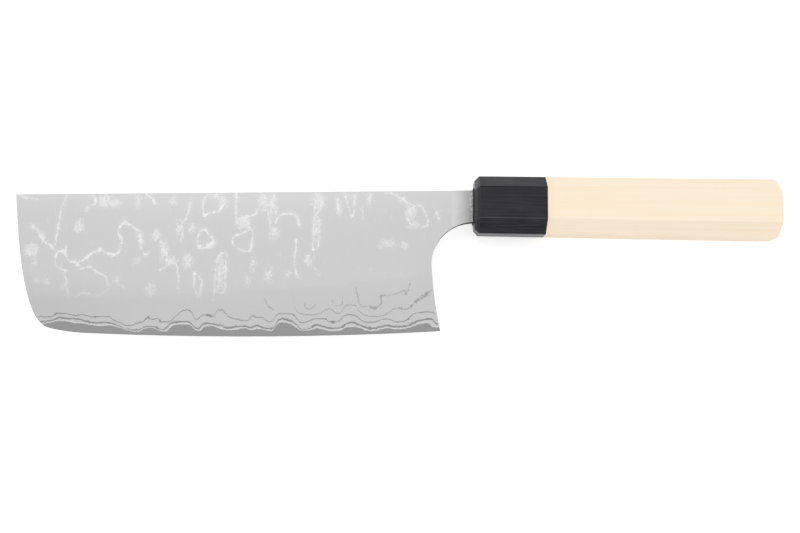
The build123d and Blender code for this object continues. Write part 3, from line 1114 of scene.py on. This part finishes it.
@dataclass
class Blade:
    """The laminated blade: core, three claddings a side, and the neck of the tang."""

    cell: float = 0.5
    quick_coarseness: int = 3
    weld: float = 1e-7
    flat_angle: float = 0.05
    steps: int = 5
    wander: float = 0.35
    wander_pitch: float = 2.6
    width_pitch: float = 3.0
    width_layer: float = 5.0
    thinnest: float = 0.75
    swell: float = 1.2

    def stretches(self, veins: tuple[Vein, ...]) -> list[Stretch]:
        """Turn veins into short straight stretches that wander and swell.

        Args:
            veins: The veins.

        Returns:
            Start, end and half width of each stretch, in reach and depth.
        """
        made = []
        for vein in veins:
            places = [VIEW.on_blade(pixel) for pixel in vein.points]
            line = [self.shaken(place) for place in smooth_line(places, vein.closed, self.steps)]
            for start, end in zip(line, line[1:]):
                spot = (start[0] / self.width_pitch, start[1] / self.width_pitch, self.width_layer)
                swell = self.thinnest + self.swell * abs(noise.noise(spot))
                made.append((start, end, vein.width / 2 * swell))
            for column, row, half in vein.knots:
                knot = self.shaken(VIEW.on_blade((column, row)))
                made.append((knot, knot, half))
        return made

    def shaken(self, place: np.ndarray) -> np.ndarray:
        """Move a place on the blade a little, as forging would."""
        spot = (place[0] / self.wander_pitch, place[1] / self.wander_pitch, 0.0)
        move = noise.noise_vector(spot)
        return place + self.wander * np.array([move.x, move.y])

    def patches(self, points: np.ndarray) -> np.ndarray:
        """How far points lie from the mottled patches.

        Args:
            points: Reach and depth of each point.

        Returns:
            The distance from the nearest patch's border, negative inside it.
        """
        nearest = np.full(len(points), FAR_AWAY)
        scale = VIEW.distance / VIEW.focal_pixels
        for column, row, half_width, half_height in PATCHES:
            middle = VIEW.on_blade((column, row))
            half = np.array((half_width, half_height)) * scale
            spread = np.linalg.norm((points - middle) / half, axis=1)
            nearest = np.minimum(nearest, (spread - 1) * half.min())
        return nearest

    def divide(self, piece: bpy.types.Object) -> None:
        """Cut a piece's faces into small cells, so that it can carry the pattern."""
        low, high = (np.array(corner) / MM for corner in self.extent(piece))
        bpy.ops.object.mode_set(mode="EDIT")
        bpy.ops.mesh.select_all(action="SELECT")
        bpy.ops.mesh.remove_doubles(threshold=self.weld)
        bpy.ops.mesh.select_all(action="SELECT")
        bpy.ops.mesh.dissolve_limited(angle_limit=math.radians(self.flat_angle))
        cell = self.cell * 1
        for axis, normal in ((1, (0, 1, 0)), (0, (1, 0, 0))):
            for place in np.arange(low[axis] + cell, high[axis], cell):
                point = [0.0, 0.0, 0.0]
                point[axis] = float(place) * MM
                bpy.ops.mesh.select_all(action="SELECT")
                bpy.ops.mesh.bisect(plane_co=point, plane_no=normal)
        bpy.ops.object.mode_set(mode="OBJECT")
        bpy.ops.mesh.customdata_custom_splitnormals_clear()
        bpy.ops.object.shade_flat()

    @staticmethod
    def extent(piece: bpy.types.Object) -> tuple[np.ndarray, np.ndarray]:
        """A piece's lowest and highest corner."""
        places = np.array([vertex.co for vertex in piece.data.vertices])
        return places.min(0), places.max(0)

    def outer(self, side: Side) -> bpy.types.Object:
        """Make the finely divided outer cladding of one side.

        Args:
            side: Which side of the blade.

        Returns:
            The piece, with the pattern's distances on its mesh.
        """
        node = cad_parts[f"{side.name.lower()}_outer_cladding"]
        bpy.ops.object.select_all(action="DESELECT")
        piece = node.copy()
        piece.data = node.data.copy()
        piece.name = f"{side.name.lower()}_patterned_cladding"
        piece.parent = None
        for key in [key for key in piece.keys() if key.startswith("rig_")]:
            del piece[key]
        bpy.context.scene.collection.objects.link(piece)
        bpy.context.view_layer.objects.active = piece
        piece.select_set(True)
        self.divide(piece)
        places = np.array([vertex.co for vertex in piece.data.vertices])
        points = BLADE.to_blade(places)
        if side is Side.RIGHT:
            points[:, 0] -= BLADE.right_shift
        values = {
            "vein": distance_to_lines(points, self.stretches(VEINS)),
            "patch": self.patches(points),
            "curl": distance_to_lines(points, self.stretches(DARK_CURLS)),
        }
        for name, numbers in values.items():
            layer = piece.data.attributes.new(name, "FLOAT", "POINT")
            layer.data.foreach_set("value", numbers.astype(np.float32))
        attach(piece, "root")
        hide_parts(node.name)
        return piece

    def build(self) -> None:
        """Dress the layers and make the two patterned outer ones."""
        patterned = EtchedSteel("patterned_steel", pattern=ForgedPattern()).build()
        walls = {"inner": from_screen(174, 174, 174), "middle": from_screen(196, 196, 196)}
        for side in Side:
            piece = self.outer(side)
            dress(piece, patterned)
            LOG.info("%s has %d faces", piece.name, len(piece.data.polygons))
            for layer, wall in walls.items():
                name = f"{side.name.lower()}_{layer}"
                dress(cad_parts[f"{name}_cladding"], EtchedSteel(f"{name}_steel", wall).build())
        core = EtchedSteel("core_steel", from_screen(150, 150, 150))
        dress(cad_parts["core_steel"], core.build())
        dress(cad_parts["tang"], TangSteel().build())
        LOG.info("blade dressed")


@dataclass
class Handle:
    """The handle: horn ferrule, wooden body, and what is hidden inside."""

    wood: BareWood = BareWood("pale_wood", (0.975, 0.835, 0.655), (0.95, 0.765, 0.555))
    peg_wood: BareWood = BareWood("peg_wood", (0.62, 0.44, 0.27), (0.50, 0.33, 0.19))
    horn: PolishedHorn = PolishedHorn()
    glue: DullFiller = DullFiller("set_glue", (0.45, 0.34, 0.19))
    sealant: DullFiller = DullFiller("black_sealant", (0.01, 0.01, 0.01))

    def build(self) -> None:
        """Dress the handle's pieces."""
        finishes = {
            "handle_body": self.wood,
            "dowel": self.peg_wood,
            "ferrule": self.horn,
            "tang_bedding": self.glue,
            "entry_sealant": self.sealant,
        }
        for node, finish in finishes.items():
            dress(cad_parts[node], finish.build())
            LOG.info("%s dressed", node)


@dataclass
class Studio:
    """A white floor, a soft lamp and a white surrounding."""

    white: Colour = (1.0, 1.0, 1.0)
    floor_half: float = 1.5
    floor_roughness: float = 0.9
    floor_shine: float = 0.1
    floor_tone: float = 0.8
    floor_lift: float = 0.5
    surround: float = 0.95
    lamp_place: tuple[float, float, float] = (-0.5, 0.9, 1.3)
    lamp_aim: tuple[float, float, float] = (-0.09, 0.0, 0.0)
    lamp_power: float = 2.2
    lamp_size: float = 1.2

    def floor(self) -> None:
        """Lay the floor that the knife lies on."""
        bpy.ops.object.select_all(action="DESELECT")
        bpy.ops.mesh.primitive_plane_add(size=2 * self.floor_half, location=(0, 0, 0))
        floor = bpy.context.object
        floor.name = "floor"
        shader = Shader("white_floor")
        shader.set("Base Color", (self.floor_tone,) * 3)
        shader.set("Roughness", self.floor_roughness)
        shader.set("Specular IOR Level", self.floor_shine)
        shader.set("Emission Color", self.white)
        path = shader.node("ShaderNodeLightPath").outputs
        seen = shader.larger(path["Is Camera Ray"], path["Is Glossy Ray"])
        shader.set("Emission Strength", shader.times(seen, self.floor_lift))
        dress(floor, shader.material)

    def lamp(self) -> None:
        """Hang the soft lamp that looks at the knife."""
        data = bpy.data.lights.new("key_lamp", "AREA")
        data.shape = "DISK"
        data.size = self.lamp_size
        data.energy = self.lamp_power
        lamp = bpy.data.objects.new("key_lamp", data)
        bpy.context.scene.collection.objects.link(lamp)
        lamp.location = self.lamp_place
        aim = Vector(self.lamp_aim) - Vector(self.lamp_place)
        lamp.rotation_euler = aim.to_track_quat("-Z", "Y").to_euler()

    def surroundings(self) -> None:
        """Make the white world round the scene."""
        world = bpy.data.worlds.new("white_surrounding")
        world.use_nodes = True
        bpy.context.scene.world = world
        tree = world.node_tree
        background = tree.nodes["Background"]
        background.inputs["Color"].default_value = (*self.white, 1.0)
        path = tree.nodes.new("ShaderNodeLightPath")
        seen = tree.nodes.new("ShaderNodeMath")
        seen.operation = "MAXIMUM"
        tree.links.new(path.outputs["Is Camera Ray"], seen.inputs[0])
        tree.links.new(path.outputs["Is Glossy Ray"], seen.inputs[1])
        strength = tree.nodes.new("ShaderNodeMapRange")
        strength.inputs["To Min"].default_value = self.surround
        strength.inputs["To Max"].default_value = 1.0
        tree.links.new(seen.outputs[0], strength.inputs["Value"])
        tree.links.new(strength.outputs[0], background.inputs["Strength"])

    def build(self) -> None:
        """Set up floor, lamp and surroundings."""
        self.floor()
        self.lamp()
        self.surroundings()
        bpy.context.scene.view_settings.view_transform = "Standard"
        LOG.info("studio ready")


def main() -> None:
    """Build the whole scene in order."""
    logging.basicConfig(level=logging.INFO, format="%(name)s: %(message)s")
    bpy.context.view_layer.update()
    Blade().build()
    Handle().build()
    Studio().build()
    VIEW.build()


if __name__ == "__main__":
    main()
